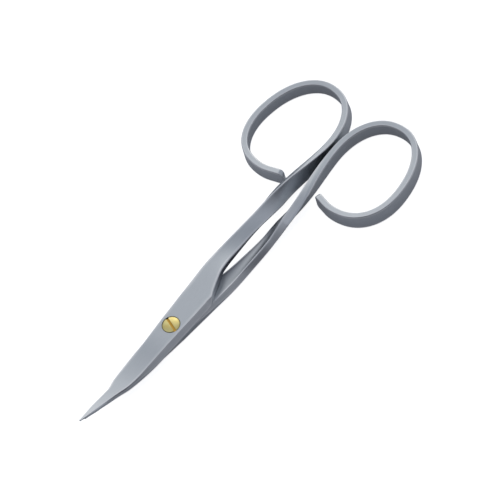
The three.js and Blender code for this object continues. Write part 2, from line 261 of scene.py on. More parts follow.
# Edges of the flat blank of a half: the cutting side on the left, the spine on the right
blank_left = through([
    (point_x(1), TIP_WIDTH / 2),
    *((point_x(along), edge) for along, edge in reversed(POINT_EDGE)),
    (BELLY_X, BELLY_EDGE),
    (BELLY_X / 2, WAIST_EDGE),
    (0, PIVOT_EDGE),
    (SHOULDER_X, SHOULDER_WIDTH),
    *((shank_x(along), middle + width / 2) for along, middle, width in SHANK_LINE),
])
blank_right = through([
    (point_x(1), -TIP_WIDTH / 2),
    *((point_x(along), -spine) for along, spine in reversed(POINT_SPINE)),
    (BELLY_X, -BELLY_SPINE),
    (BELLY_X / 2, -WAIST_SPINE),
    (0, -PIVOT_SPINE),
    (SHOULDER_X - SHOULDER_ROUND, -SHOULDER_WIDTH),
    (SHOULDER_X, -SHOULDER_WIDTH + SHOULDER_STEP),
    *((lerp(SHOULDER_X, TWIST_START, along), lerp(-SHOULDER_WIDTH, HIP_Y - HIP_WIDTH / 2, narrowed))
      for along, narrowed in SCOOP),
    *((shank_x(along), middle - width / 2) for along, middle, width in SHANK_LINE),
])

# What the lower half's blank has less or more than the upper one's
lower_trim = through([
    (point_x(1), 0),
    (point_x(LOWER_TRIM_AT), LOWER_TRIM),
    (BELLY_X, LOWER_TRIM / 2),
    (-PIVOT_SPINE, 0),
])
lower_edge_trim = through([
    (point_x(1), 0),
    *((point_x(along), LOWER_EDGE_TRIM) for along in LOWER_EDGE_TRIM_AT),
    (point_x(LOWER_EDGE_TRIM_END), 0),
])
lower_bow = through([
    (TWIST_START, 0),
    (shank_x(NECK), LOWER_BOW),
    *((shank_x(along), share * LOWER_BOW) for along, share in LOWER_BOW_FADE),
    (TWIST_END, 0),
])
lower_swell = through([(shank_x(NECK), 0), (shank_x(LOWER_SWELL_AT), LOWER_SWELL), (TWIST_END, 0)])
lower_growth = through([(shank_x(NECK), 0), (shank_x(BOW), LOWER_TALLER)])

# Thickness, and twist in degrees
thickness = through([
    (point_x(1), TIP_THICKNESS),
    (BELLY_X, BELLY_THICKNESS),
    (-PIVOT_SPINE, PLATE_THICKNESS),
    (SHOULDER_X, PLATE_THICKNESS),
    (shank_x(NECK), NECK_THICKNESS),
    (TWIST_END, STRIP_THICKNESS),
])
upper_twist, lower_twist = (
    through([
        (SHOULDER_X, 0),
        (TWIST_START, 0),
        *((shank_x(along), degrees) for along, degrees in table),
        (TWIST_END, LOOP_TWIST),
    ])
    for table in (TWIST, LOWER_TWIST)
)

# How much of each bevel is there, from none (a broken edge) to all of it
edge_ground = through([(point_x(1), 0), (BELLY_X, 1), (-EDGE_END, 1), (EDGE_FADE - EDGE_END, 0)])
spine_ground = through([
    (point_x(1), 0),
    (point_x(POINT_GROUND_AT), POINT_GROUND),
    (BELLY_X, BELLY_GROUND),
    (BELLY_X / 2, 1),
    (SHOULDER_X - SHOULDER_ROUND / 2, 1),
    (SHOULDER_X + SHOULDER_ROUND, 0),
])
upper_flank, lower_flank = (
    through([(0, 0), (TWIST_START, 1), (shank_x(NECK), NECK_FLANK / FLANK), (shank_x(end), 0)])
    for end in (FLANK_END, LOWER_FLANK_END)
)
flank_depth = through([(0, 0), (TWIST_START, 1)])

# How hollow the inner face is, and how round the corners are
hollow_along = through([
    (SHOULDER_X, 0),
    (TWIST_START, HOLLOW),
    (shank_x(HOLLOW_END[0]), HOLLOW),
    (shank_x(HOLLOW_END[1]), 0),
])
corner_round, bevel_round = (
    through([(point_x(1), TIP_CORNER), (BELLY_X, blade), (0, blade), (TWIST_START, SHANK_CORNER)])
    for blade in (BLADE_CORNER, BEVEL_CORNER)
)

# How much painted shade the walls in the gap between the shanks and the lower half's inner face get
gap_shade_along = through([
    (SHOULDER_X, 0),
    (shank_x(GAP_SHADE_START), 1),
    (shank_x(GAP_SHADE_END[0]), 1),
    (shank_x(GAP_SHADE_END[1]), 0),
])
inner_shade_along = through([
    (SHOULDER_X, 0),
    (TWIST_START, INNER_FACE_SHADE),
    (shank_x(INNER_FACE_SHADE_END), INNER_FACE_SHADE),
    (TWIST_END, 0),
])

# How much of its painted highlight the foot of the flank has lost
flank_foot_fade = through([
    (shank_x(FLANK_FOOT_FADE[0]), 0),
    (shank_x(FLANK_FOOT_FADE[1]), 1),
    (TWIST_END, 1),
    (HANDLE_LENGTH, 0),
])


def blade_rise(radius):
    """How far the curve of the blades lifts a point at a radius from the pivot."""
    along = np.maximum(0, radius - BEND_START) / (BLADE_LENGTH - BEND_START)
    return TIP_RISE * along**2


def sections(width, thick, side, cuts):
    """Bar sections at each station, as eight points (across, through) from the outer left corner."""
    def corner(across, face, name):
        run, depth = cuts[name]
        on_face = np.stack([across * (width / 2 - run), face * side * thick / 2], -1)
        on_side = np.stack([across * width / 2, face * side * (thick / 2 - depth)], -1)
        return [on_face, on_side] if across == face else [on_side, on_face]

    points = [
        *corner(1, 1, "edge"),
        *corner(1, -1, "flank"),
        *corner(-1, -1, "plain"),
        *corner(-1, 1, "spine"),
    ]
    return np.stack(points, 1)


def spread(span):
    """How many points lie between two corners of a section: few on a bevel, more on a face."""
    return FACET_POINTS if span % 2 == 0 else FACE_POINTS


def rounded(polygons, radius, hollow):
    """Sections with rounded corners and points spread over their faces, the inner one of them hollow."""
    share = np.linspace(0, 1, FILLET_POINTS)[:, None]
    starts, ends, fillets = [], [], []
    for i in range(SECTION_CORNERS):
        here = polygons[:, i]
        legs = [polygons[:, i - 1] - here, polygons[:, (i + 1) % SECTION_CORNERS] - here]
        lengths = [np.linalg.norm(leg, axis=1, keepdims=True) + LEAST_LENGTH for leg in legs]
        taken = np.minimum(radius[:, None], FILLET_REACH * np.minimum(*lengths))
        start, end = (here + leg / length * taken for leg, length in zip(legs, lengths))
        arc = [start * (1 - t) ** 2 + 2 * here * t * (1 - t) + end * t**2 for t in share]
        starts.append(start)
        ends.append(end)
        fillets.append(np.stack(arc, 1))
    rows = []
    for i in range(SECTION_CORNERS):
        steps = (1 - np.cos(np.linspace(0, math.pi, spread(i) + 2)[1:-1])) / 2
        between = np.stack([lerp(ends[i], starts[(i + 1) % SECTION_CORNERS], t) for t in steps], 1)
        if i == INNER_FACE:
            between[..., 1] += hollow[:, None] * 4 * steps * (1 - steps)
        rows += [fillets[i], between]
    return np.concatenate(rows, 1)


def oval(angle):
    """Points of the loop's middle line about its own middle."""
    long = (LOOP_LENGTH + STRIP_THICKNESS) / 2
    short = (LOOP_WIDTH + STRIP_THICKNESS) / 2
    reach = np.abs(np.cos(angle) / long) ** FULLNESS + np.abs(np.sin(angle) / short) ** FULLNESS
    radius = reach ** (-1 / FULLNESS)
    along = radius * np.cos(angle)
    across = radius * np.sin(angle) * (1 - LOOP_TAPER * along / long)
    cos, sin = math.cos(LOOP_TILT), math.sin(LOOP_TILT)
    return np.stack([along * cos + across * sin, across * cos - along * sin], -1)


def directions(points):
    """Unit directions along a line of points."""
    ways = np.gradient(points, axis=0)
    return ways / np.linalg.norm(ways, axis=1, keepdims=True)


def evenly(points):
    """The same line with points at even distances, about a station apart."""
    steps = np.linalg.norm(np.diff(points, axis=0), axis=1)
    along = np.concatenate([[0], np.cumsum(steps)])
    spots = np.linspace(0, along[-1], round(along[-1] / STATION) + 1)
    return np.stack([np.interp(spots, along, column) for column in points.T], -1)


def loop_line():
    """The loop's middle line round the oval, from the shank's run into it to its straight leg."""
    round_it = oval(np.linspace(0, 2 * math.pi, OVAL_SPOTS))
    middle = np.array([HANDLE_LENGTH - STRIP_THICKNESS / 2, LOOP_START_Y])
    middle -= [round_it[:, 0].max(), round_it[:, 1].min()]
    return evenly(middle + oval(np.linspace(JOIN_ANGLE, LEG_ANGLE, OVAL_SPOTS)))


def join_line(shank, loop):
    """The run from the shank's line into the loop's, as a curve that meets both smoothly."""
    start, end = shank[-1], loop[0]
    third = np.linalg.norm(end - start) / 3
    after_start = start + directions(shank)[-1] * third
    before_end = end - directions(loop)[0] * third
    t = np.linspace(0, 1, OVAL_SPOTS)[:, None]
    near_start = start * (1 - t) ** 3 + 3 * after_start * t * (1 - t) ** 2
    curve = near_start + 3 * before_end * t**2 * (1 - t) + end * t**3
    return evenly(curve)[1:-1]


def leg_line(loop, clear_of, mouth):
    """The free end's straight leg, and how far along its rounded end each point is."""
    way = directions(loop)[-1]
    length = (loop[-1, 1] - clear_of - mouth) / -way[1]
    plain = np.arange(STATION, length - BULLET_LENGTH, STATION)
    bullet = np.sin(np.linspace(0, math.pi / 2, BULLET_STEPS, endpoint=False))
    along = np.concatenate([plain, length - BULLET_LENGTH * (1 - bullet)])
    return loop[-1] + along[:, None] * way, np.concatenate([np.zeros(len(plain)), bullet])


def blank(x, side):
    """Left and right edge of a half's flat blank."""
    left, right = blank_left(x), blank_right(x)
    if side < 0:
        left = left + lower_bow(x) - lower_edge_trim(x)
        right = right + lower_bow(x) + lower_trim(x)
    return smoothed(left, SMOOTH_EDGE), smoothed(right, SMOOTH_EDGE)


def half_line(x, left, right, turned_by, side):
    """The shank's line, its run into the loop, the loop and the leg, and the leg's rounded end."""
    shank = np.stack([x, (left + right) / 2], -1)
    loop = loop_line()
    turn = np.radians(turned_by)
    shank_top = shank[:, 1] + (left - right) / 2 * np.cos(turn)
    beside = np.interp(loop[-1, 0], x, shank_top + STRIP_THICKNESS / 2 * np.sin(turn))
    leg, bullet = leg_line(loop, beside, MOUTH if side > 0 else LOWER_MOUTH)
    return shank, join_line(shank, loop), loop, leg, bullet


def section_cuts(x, corner, thick, carried, side):
    """Each corner's run over its face and its depth, from a broken edge up to a whole bevel."""
    def ground(run, depth, bevel, land):
        return lerp(corner, bevel, carried(run, 0)), lerp(corner, thick - land, carried(depth, 0))

    edge, spine = edge_ground(x), spine_ground(x)
    flank = (upper_flank if side > 0 else lower_flank)(x)
    return {
        "edge": ground(edge, edge, EDGE_BEVEL, EDGE_LAND),
        "spine": ground(spine, spine, SPINE_BEVEL, SPINE_LAND),
        "flank": ground(flank, flank_depth(x), FLANK, FLANK_LAND),
        "plain": (corner, corner),
    }


def half_rings(side):
    """Outlines of a half from the tip along the shank and round the loop to its free end."""
    x = np.linspace(-BLADE_LENGTH, JOIN_X, round((BLADE_LENGTH + JOIN_X) / STATION) + 1)
    left, right = blank(x, side)
    turned_by = (upper_twist if side > 0 else lower_twist)(x)
    shank, join, loop, leg, bullet = half_line(x, left, right, turned_by, side)
    middle = np.concatenate([shank, join, loop, leg])
    run = np.linspace(0, 1, len(join) + 2)[1:-1]
    rest = np.ones(len(loop) + len(leg))

    def carried(values, end, haste=1):
        """Values along the shank, carried on through the join to their value round the loop."""
        return np.concatenate([values, lerp(values[-1], end, 1 - (1 - run) ** haste), end * rest])

    way = directions(middle)
    heading = np.arctan2(way[:, 1], way[:, 0])
    heading[: len(x)] *= np.clip((x - TWIST_START) / (JOIN_X - TWIST_START), 0, 1)
    degrees = carried(turned_by, LOOP_TWIST, 1 if side > 0 else LOWER_TWIST_HASTE)
    twist = np.radians(np.maximum(0, smoothed(degrees, SMOOTH_TWIST)))
    swell = lower_swell(x) if side < 0 else 0
    thick = carried(thickness(x) + swell, STRIP_THICKNESS)
    taller = carried(lower_growth(x), LOWER_TALLER) if side < 0 else 0
    room = (STACK + taller - thick * np.cos(twist)) / np.maximum(np.sin(twist), LEAST_SINE)
    width = np.minimum(carried(left - right, STACK) + taller, room)
    ridge = (width * np.sin(twist) + thick * np.cos(twist)) / 2
    inner = UPPER_INNER if side > 0 else LOWER_INNER
    level = np.where(middle[:, 0] < 0, inner + side * thick / 2, STACK - ridge if side > 0 else ridge)

    corner = carried(corner_round(x), SHANK_CORNER)
    polygons = sections(width, thick, side, section_cuts(x, corner, thick, carried, side))
    hollow = side * carried(hollow_along(x), 0)
    outline = rounded(polygons, carried(bevel_round(x), SHANK_CORNER), hollow)
    fade = np.concatenate([np.zeros(len(middle) - len(bullet)), bullet])
    outline = outline * np.stack([np.sqrt(1 - fade**2), np.sqrt(1 - fade**4)], -1)[:, None, :]
    return place(outline, middle, heading, twist, level, side)


def place(outline, middle, heading, twist, level, side):
    """Sections set across their headings and twisted, as rings of points."""
    across, through_it = outline[..., 0], outline[..., 1]
    turn = twist[:, None]
    out = through_it * np.sin(turn) - across * np.cos(turn)
    up = across * np.sin(turn) + through_it * np.cos(turn)
    x = middle[:, :1] + out * np.sin(heading)[:, None]
    y = middle[:, 1:] - out * np.cos(heading)[:, None]
    z = level[:, None] + up + np.where(middle[:, :1] < 0, blade_rise(np.hypot(x, y)), 0)
    return np.stack([x, side * y, z], -1)


def tip_rings(first):
    """Rings that close the tip with a rounded end, from nearly nothing up to the first ring."""
    centre = first.mean(0)
    share = np.linspace(TIP_FIRST_STEP, 1, TIP_STEPS, endpoint=False)
    size = np.sqrt(1 - (1 - share) ** 2)
    rings = centre + (first - centre) * size[:, None, None]
    rings[..., 0] += ((share - 1) * TIP_ROUND)[:, None]
    return rings


def painted_highlight_and_shade(stations, side):
    """How much painted highlight each point of the rings gets, on its broken edges, and how much painted
    shade, on the walls in the gap and the lower half's inner face.
    """
    edge_highlight, fading, wall, inner = [], [], [], []
    for span in range(SECTION_CORNERS):
        shaded_inner = side < 0 and span == INNER_FACE
        edge_highlight += [1] * FILLET_POINTS + [MARGIN_HIGHLIGHT] + [0] * (spread(span) - 2) + [MARGIN_HIGHLIGHT]
        fading += [span == FLANK_FOOT] * FILLET_POINTS + [0] * spread(span)
        wall += [0] * FILLET_POINTS + [span == GAP_WALL] * spread(span)
        inner += [0] * FILLET_POINTS + (np.linspace(0, shaded_inner, spread(span)) ** 2).tolist()
    along = STATION * np.arange(stations)[:, None] - BLADE_LENGTH
    painted_shade = gap_shade_along(along) * np.array(wall) + inner_shade_along(along) * np.array(inner)
    return np.stack([np.array(edge_highlight) - np.array(fading) * flank_foot_fade(along), painted_shade], -1)


def closed_rings(values):
    """Values at the rings' points, with each ring's first one again at its end."""
    return np.concatenate([values, values[:, :1]], 1)


def add_uv(mesh, name, closed):
    """A layer of two values for each corner of a skin's faces, with none on its two end faces."""
    corners = [closed[:-1, :-1], closed[1:, :-1], closed[1:, 1:], closed[:-1, 1:]]
    on_ends = np.zeros((2 * (closed.shape[1] - 1), 2))
    flat = np.concatenate([np.stack(corners, 2).reshape(-1, 2), on_ends])
    mesh.uv_layers.new(name=name).data.foreach_set("uv", flat.astype(np.float32).ravel())


def skin(name, rings, surface):
    """A closed mesh over rings of equal count, with UV layers of length and girth, and of its surface."""
    stations, count = rings.shape[:2]
    ring = np.arange(stations)[:, None] * count
    spot = np.arange(count)
    quads = np.stack([
        ring[:-1] + spot,
        ring[1:] + spot,
        ring[1:] + (spot + 1) % count,
        ring[:-1] + (spot + 1) % count,
    ], -1).reshape(-1, 4)
    last = (stations - 1) * count
    faces = quads.tolist() + [list(range(count)), list(range(last + count - 1, last - 1, -1))]
    mesh = bpy.data.meshes.new(name)
    mesh.from_pydata((rings.reshape(-1, 3) * METRE).tolist(), [], faces)

    centres = rings.mean(1)
    along = np.concatenate([[0], np.cumsum(np.linalg.norm(np.diff(centres, axis=0), axis=1))])
    girth = np.cumsum(np.linalg.norm(np.diff(closed_rings(rings), axis=1), axis=2), axis=1)
    girth = np.concatenate([np.zeros((stations, 1)), girth], 1)
    lengths = np.broadcast_to(along[:, None], girth.shape)
    add_uv(mesh, "grain", np.stack([lengths, girth], -1))
    # The surface layer carries the painted edge highlight and the painted shade in the gap
    add_uv(mesh, "surface", closed_rings(surface))
    return add(name, mesh)


def add(name, mesh):
    piece = bpy.data.objects.new(name, mesh)
    bpy.context.scene.collection.objects.link(piece)
    return piece


def turned(name, profile):
    """A closed solid turned about the pivot axis from a profile of (radius, height) with its ends on it."""
    bm = bmesh.new()
    spots = [bm.verts.new((radius * METRE, 0, height * METRE)) for radius, height in profile]
    edges = [bm.edges.new(pair) for pair in zip(spots, spots[1:])]
    bmesh.ops.spin(
        bm,
        geom=spots + edges,
        axis=(0, 0, 1),
        cent=(0, 0, 0),
        steps=ROUND_SEGMENTS,
        angle=2 * math.pi,
    )
    bmesh.ops.remove_doubles(bm, verts=bm.verts, dist=WELD * METRE)
    bmesh.ops.recalc_face_normals(bm, faces=bm.faces)
    mesh = bpy.data.meshes.new(name)
    bm.to_mesh(mesh)
    bm.free()
    return add(name, mesh)


def baked(piece):
    """The piece with its modifiers made part of its mesh."""
    mesh = bpy.data.meshes.new_from_object(piece.evaluated_get(bpy.context.evaluated_depsgraph_get()))
    piece.modifiers.clear()
    piece.data = mesh
    return piece


def cleaned(piece):
    """The piece without the slivers that a cut or a bevel leaves where edges meet."""
    bm = bmesh.new()
    bm.from_mesh(piece.data)
    bmesh.ops.remove_doubles(bm, verts=bm.verts, dist=SLIVER * METRE)
    bmesh.ops.dissolve_degenerate(bm, edges=bm.edges, dist=SLIVER * METRE)
    bm.to_mesh(piece.data)
    bm.free()
    return piece


def cut(piece, tool):
    """The piece with the tool's solid taken out of it."""
    modifier = piece.modifiers.new("cut", "BOOLEAN")
    modifier.object = tool
    modifier.operation = "DIFFERENCE"
    modifier.solver = "EXACT"
    cleaned(baked(piece))
    bpy.data.objects.remove(tool)
    return piece


def polished(piece, material, body):
    """Smooth shading that keeps flat faces flat, the material, and the body that the piece rides on."""
    mesh = piece.data
    mesh.polygons.foreach_set("use_smooth", [True] * len(mesh.polygons))
    mesh.set_sharp_from_angle(angle=SHARP_ANGLE)
    modifier = piece.modifiers.new("flat faces", "WEIGHTED_NORMAL")
    modifier.keep_sharp = True
    modifier.weight = FLAT_FACE_WEIGHT
    mesh.materials.clear()
    mesh.materials.append(material)
    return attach(piece, body)


def half(name, side):
    outlines = half_rings(side)
    tip = -BLADE_LENGTH if side > 0 else LOWER_SHORT - BLADE_LENGTH
    start = outlines[outlines[:, :, 0].mean(1) > tip + TIP_ROUND]
    surface = painted_highlight_and_shade(len(outlines), side)[-len(start) :]
    surface = np.concatenate([np.repeat(surface[:1], TIP_STEPS, 0), surface])
    return skin(name, np.concatenate([tip_rings(start[0]), start]), surface)


def upper_half(material):
    piece = half("upper_half_steel", 1)
    floor_of_bore = STACK - COUNTERBORE_DEPTH
    hole = SHOULDER_DIAMETER / 2 + RUNNING_CLEARANCE
    tool = turned("counterbore", [
        (0, -CUT_OVERRUN),
        (hole, -CUT_OVERRUN),
        (hole, floor_of_bore),
        (BORE_RADIUS, floor_of_bore),
        (BORE_RADIUS, STACK - COUNTERBORE_CHAMFER),
        (BORE_RADIUS + COUNTERBORE_CHAMFER + CUT_OVERRUN, STACK + CUT_OVERRUN),
        (0, STACK + CUT_OVERRUN),
    ])
    polished(cut(piece, tool), material, "upper")
    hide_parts("upper_half")
    return piece


def lower_half(material):
    piece = half("lower_half_steel", -1)
    hole = THREAD_DIAMETER / 2 + RUNNING_CLEARANCE
    tool = turned("hole", [(0, -CUT_OVERRUN), (hole, -CUT_OVERRUN), (hole, STACK), (0, STACK)])
    polished(cut(piece, tool), material, "lower")
    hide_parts("lower_half")
    return piece


def slot_cutter():
    """A bar to cut the slot across the screw's head with."""
    size = (HEAD_DIAMETER + CUT_OVERRUN, SLOT_WIDTH, SLOT_DEPTH + CUT_OVERRUN)
    middle = SLOT_FLOOR + size[2] / 2
    stand = Matrix.Translation((0, 0, middle * METRE)) @ Matrix.Rotation(SLOT_ANGLE, 4, "Z")
    bm = bmesh.new()
    bmesh.ops.create_cube(bm, matrix=stand @ Matrix.Diagonal((*(s * METRE for s in size), 1)))
    mesh = bpy.data.meshes.new("slot")
    bm.to_mesh(mesh)
    bm.free()
    return add("slot", mesh)


def pivot_screw(material):
    under_shoulder = LOWER_INNER + RUNNING_CLEARANCE
    crown = math.acos(CROWN_DIAMETER / HEAD_DIAMETER)
    dome = [crown * i / DOME_STEPS for i in range(DOME_STEPS + 1)]
    piece = turned("pivot_screw_brass", [
        (0, 0),
        (THREAD_DIAMETER / 2, 0),
        (THREAD_DIAMETER / 2, under_shoulder),
        (SHOULDER_DIAMETER / 2, under_shoulder),
        (SHOULDER_DIAMETER / 2, UNDER_HEAD),
        (HEAD_DIAMETER / 2, UNDER_HEAD),
        *((HEAD_DIAMETER / 2 * math.cos(a), DOME_FOOT + HEAD_DOME * math.sin(a)) for a in dome),
        (0, DOME_FOOT + HEAD_DOME * math.sin(crown)),
    ])
    cut(piece, slot_cutter())
    bevel = piece.modifiers.new("broken edges", "BEVEL")
    bevel.width = SCREW_ROUND * METRE
    bevel.segments = SCREW_ROUND_STEPS
    bevel.angle_limit = SHARP_ANGLE
    polished(cleaned(baked(piece)), material, "lower")
    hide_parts("pivot_screw")
    return piece


# Range that most of a noise's values lie in
NOISE_LOW = 0.3
NOISE_HIGH = 0.7


class Nodes:
    """Short ways to add and join the nodes of one material."""

    def __init__(self, name):
        self.material = bpy.data.materials.new(name)
        self.material.use_nodes = True
        self.tree = self.material.node_tree
        self.shader = self.tree.nodes["Principled BSDF"]

    def add(self, kind, **values):
        node = self.tree.nodes.new(kind)
        for key, value in values.items():
            setattr(node, key, value)
        return node

    def join(self, output, socket):
        self.tree.links.new(output, socket)

    def noise(self, coordinates, stretch, detail):
        """Noise whose grains are stretched along an axis by how small that axis' number is."""
        mapping = self.add("ShaderNodeMapping")
        mapping.inputs["Scale"].default_value = stretch
        self.join(coordinates, mapping.inputs["Vector"])
        noise = self.add("ShaderNodeTexNoise")
        noise.inputs["Scale"].default_value = 1
        noise.inputs["Detail"].default_value = detail
        self.join(mapping.outputs["Vector"], noise.inputs["Vector"])
        return noise.outputs["Fac"]

    def between(self, value, low, high):
        """A noise's value, spread over the range from low to high."""
        spread_out = self.add("ShaderNodeMapRange")
        spread_out.inputs["From Min"].default_value = NOISE_LOW
        spread_out.inputs["From Max"].default_value = NOISE_HIGH
        spread_out.inputs["To Min"].default_value = low
        spread_out.inputs["To Max"].default_value = high
        self.join(value, spread_out.inputs["Value"])
        return spread_out.outputs["Result"]

    def tint(self, value, dark, light):
        """A noise's value as a colour between two."""
        ramp = self.add("ShaderNodeValToRGB")
        ramp.color_ramp.elements[0].color = (*dark, 1)
        ramp.color_ramp.elements[1].color = (*light, 1)
        ramp.color_ramp.elements[0].position = NOISE_LOW
        ramp.color_ramp.elements[1].position = NOISE_HIGH
        self.join(value, ramp.inputs["Fac"])
        return ramp.outputs["Color"]

    def fade(self, value, start, end):
        """Nothing where a value is at its start, all where it is at its end."""
        share = self.add("ShaderNodeMapRange")
        share.inputs["From Min"].default_value = start
        share.inputs["From Max"].default_value = end
        self.join(value, share.inputs["Value"])
        return share.outputs["Result"]

    def product(self, value, other):
        node = self.add("ShaderNodeMath", operation="MULTIPLY")
        self.join(value, node.inputs[0])
        self.join(other, node.inputs[1])
        return node.outputs["Value"]

    def over(self, colour, other, share):
        """A colour that turns into another one by a share."""
        mix = self.add("ShaderNodeMix", data_type="RGBA")
        mix.inputs["B"].default_value = (*other, 1)
        self.join(colour, mix.inputs["A"])
        self.join(share, mix.inputs["Factor"])
        return mix.outputs["Result"]

    def parts(self, vector):
        """The parts of a vector."""
        node = self.add("ShaderNodeSeparateXYZ")
        self.join(vector, node.inputs["Vector"])
        return node.outputs

    def radius(self, vector):
        """Distance from the pivot axis."""
        flat = self.add("ShaderNodeVectorMath", operation="MULTIPLY")
        flat.inputs[1].default_value = (1, 1, 0)
        self.join(vector, flat.inputs[0])
        length = self.add("ShaderNodeVectorMath", operation="LENGTH")
        self.join(flat.outputs["Vector"], length.inputs[0])
        return length.outputs["Value"]

    def bump(self, value, strength, depth):
        """Relief of the given depth in millimetres."""
        bump = self.add("ShaderNodeBump")
        bump.inputs["Strength"].default_value = strength
        bump.inputs["Distance"].default_value = depth * METRE
        self.join(value, bump.inputs["Height"])
        self.join(bump.outputs["Normal"], self.shader.inputs["Normal"])


# Steel, brushed along its length, with painted highlights on its edges, painted shade on the walls in the
# gap and painted shade in the bore round the screw head
STEEL_DARK = (0.565, 0.593, 0.622)
STEEL_LIGHT = (0.605, 0.633, 0.662)
STEEL_ROUGHNESS = (0.3, 0.36)
# Painted highlight on the broken edges
PAINTED_EDGE_HIGHLIGHT = (0.95, 0.95, 0.95)
# Painted shade on the walls in the gap and the lower half's inner face
PAINTED_GAP_SHADE = (0.10, 0.10, 0.125)
STEEL_CLOUDS = (180, 180, 180)
STEEL_CLOUDS_DETAIL = 3
EDGE_HIGHLIGHT_START = 0.3
EDGE_HIGHLIGHT_PATCHES = (0.3, 0.8)
GRAIN = (0.5, 9, 1)
GRAIN_DETAIL = 4
GRAIN_STRENGTH = 0.12
GRAIN_DEPTH = 0.01
# Painted shade in the bore round the screw head
PAINTED_BORE_SHADE = (0.05, 0.045, 0.04)
BORE_SHADE_EDGE = 0.02


def satin_steel():
    nodes = Nodes("satin_steel")
    lengthwise = nodes.add("ShaderNodeUVMap", uv_map="grain").outputs["UV"]
    surface = nodes.parts(nodes.add("ShaderNodeUVMap", uv_map="surface").outputs["UV"])
    place_on_it = nodes.add("ShaderNodeTexCoord").outputs["Object"]
    brushed = nodes.noise(lengthwise, GRAIN, GRAIN_DETAIL)
    clouds = nodes.noise(place_on_it, STEEL_CLOUDS, STEEL_CLOUDS_DETAIL)
    # Painted highlight along the broken edges, in patches
    edge_highlight = nodes.product(nodes.fade(surface["X"], EDGE_HIGHLIGHT_START, 1), nodes.between(clouds, *EDGE_HIGHLIGHT_PATCHES))
    # Painted shade in the bore round the screw head, on the upper half only
    bore_shade_end = (BORE_RADIUS + BORE_SHADE_EDGE) * METRE
    in_bore = nodes.fade(nodes.radius(place_on_it), bore_shade_end, BORE_RADIUS * METRE)
    above = nodes.fade(nodes.parts(place_on_it)["Z"], LOWER_INNER * METRE, UPPER_INNER * METRE)
    colour = nodes.tint(brushed, STEEL_DARK, STEEL_LIGHT)
    colour = nodes.over(colour, PAINTED_EDGE_HIGHLIGHT, edge_highlight)
    # Painted shade on the walls in the gap and the lower half's inner face
    colour = nodes.over(colour, PAINTED_GAP_SHADE, surface["Y"])
    colour = nodes.over(colour, PAINTED_BORE_SHADE, nodes.product(in_bore, above))
    nodes.join(colour, nodes.shader.inputs["Base Color"])
    nodes.join(nodes.between(clouds, *STEEL_ROUGHNESS), nodes.shader.inputs["Roughness"])
    nodes.bump(brushed, GRAIN_STRENGTH, GRAIN_DEPTH)
    nodes.shader.inputs["Metallic"].default_value = 1
    return nodes.material


# Brass, with fine rings from turning, and painted shade and reflection in the slot
BRASS_DARK = (0.90, 0.72, 0.26)
BRASS_LIGHT = (1.0, 0.88, 0.40)
BRASS_ROUGHNESS = (0.40, 0.28)
BRASS_CLOUDS = (900, 900, 900)
BRASS_CLOUDS_DETAIL = 4
TURNING_SCALE = 14
TURNING_STRENGTH = 0.2
TURNING_DEPTH = 0.01
# Painted shade and reflection for the slot's floor
PAINTED_SLOT_SHADE_AND_REFLECTION = (0.72, 0.42, 0.08)
SLOT_SHADE_HEIGHT = 0.2


def pale_brass():
    nodes = Nodes("pale_brass")
    place_on_it = nodes.add("ShaderNodeTexCoord").outputs["Object"]
    clouds = nodes.noise(place_on_it, BRASS_CLOUDS, BRASS_CLOUDS_DETAIL)
    turning = nodes.add("ShaderNodeTexNoise", noise_dimensions="1D")
    turning.inputs["Scale"].default_value = TURNING_SCALE / METRE
    nodes.join(nodes.radius(place_on_it), turning.inputs["W"])
    # Painted shade and reflection on the slot's floor, fading out a little above it
    slot_shade_top = (SLOT_FLOOR + SLOT_SHADE_HEIGHT) * METRE
    slot_shaded = nodes.fade(nodes.parts(place_on_it)["Z"], slot_shade_top, SLOT_FLOOR * METRE)
    colour = nodes.tint(clouds, BRASS_DARK, BRASS_LIGHT)
    colour = nodes.over(colour, PAINTED_SLOT_SHADE_AND_REFLECTION, slot_shaded)
    nodes.join(colour, nodes.shader.inputs["Base Color"])
    nodes.join(nodes.between(clouds, *BRASS_ROUGHNESS), nodes.shader.inputs["Roughness"])
    nodes.bump(turning.outputs["Fac"], TURNING_STRENGTH, TURNING_DEPTH)
    nodes.shader.inputs["Metallic"].default_value = 1
    return nodes.material


# Floor, in metres, with its glow in what it lights and as the camera sees it
FLOOR_SIZE = 6.0
FLOOR_DROP = 0.0002
FLOOR_COLOUR = (0.68, 0.68, 0.70)
FLOOR_ROUGHNESS = 0.9
FLOOR_GLOW = (0.03, 0.87)
WHITE = (1, 1, 1)


def pale_floor():
    nodes = Nodes("pale_floor")
    nodes.shader.inputs["Base Color"].default_value = (*FLOOR_COLOUR, 1)
    nodes.shader.inputs["Roughness"].default_value = FLOOR_ROUGHNESS
    nodes.shader.inputs["Specular IOR Level"].default_value = 0
    nodes.shader.inputs["Emission Color"].default_value = (*WHITE, 1)
    glow = nodes.add("ShaderNodeMapRange")
    glow.inputs["To Min"].default_value = FLOOR_GLOW[0]
    glow.inputs["To Max"].default_value = FLOOR_GLOW[1]
    nodes.join(nodes.add("ShaderNodeLightPath").outputs["Is Camera Ray"], glow.inputs["Value"])
    nodes.join(glow.outputs["Result"], nodes.shader.inputs["Emission Strength"])
    return nodes.material


def floor():
    bm = bmesh.new()
    bmesh.ops.create_grid(bm, x_segments=1, y_segments=1, size=FLOOR_SIZE / 2)
    mesh = bpy.data.meshes.new("floor")
    bm.to_mesh(mesh)
    bm.free()
    piece = add("floor", mesh)
    piece.location.z = -FLOOR_DROP
    mesh.materials.append(pale_floor())


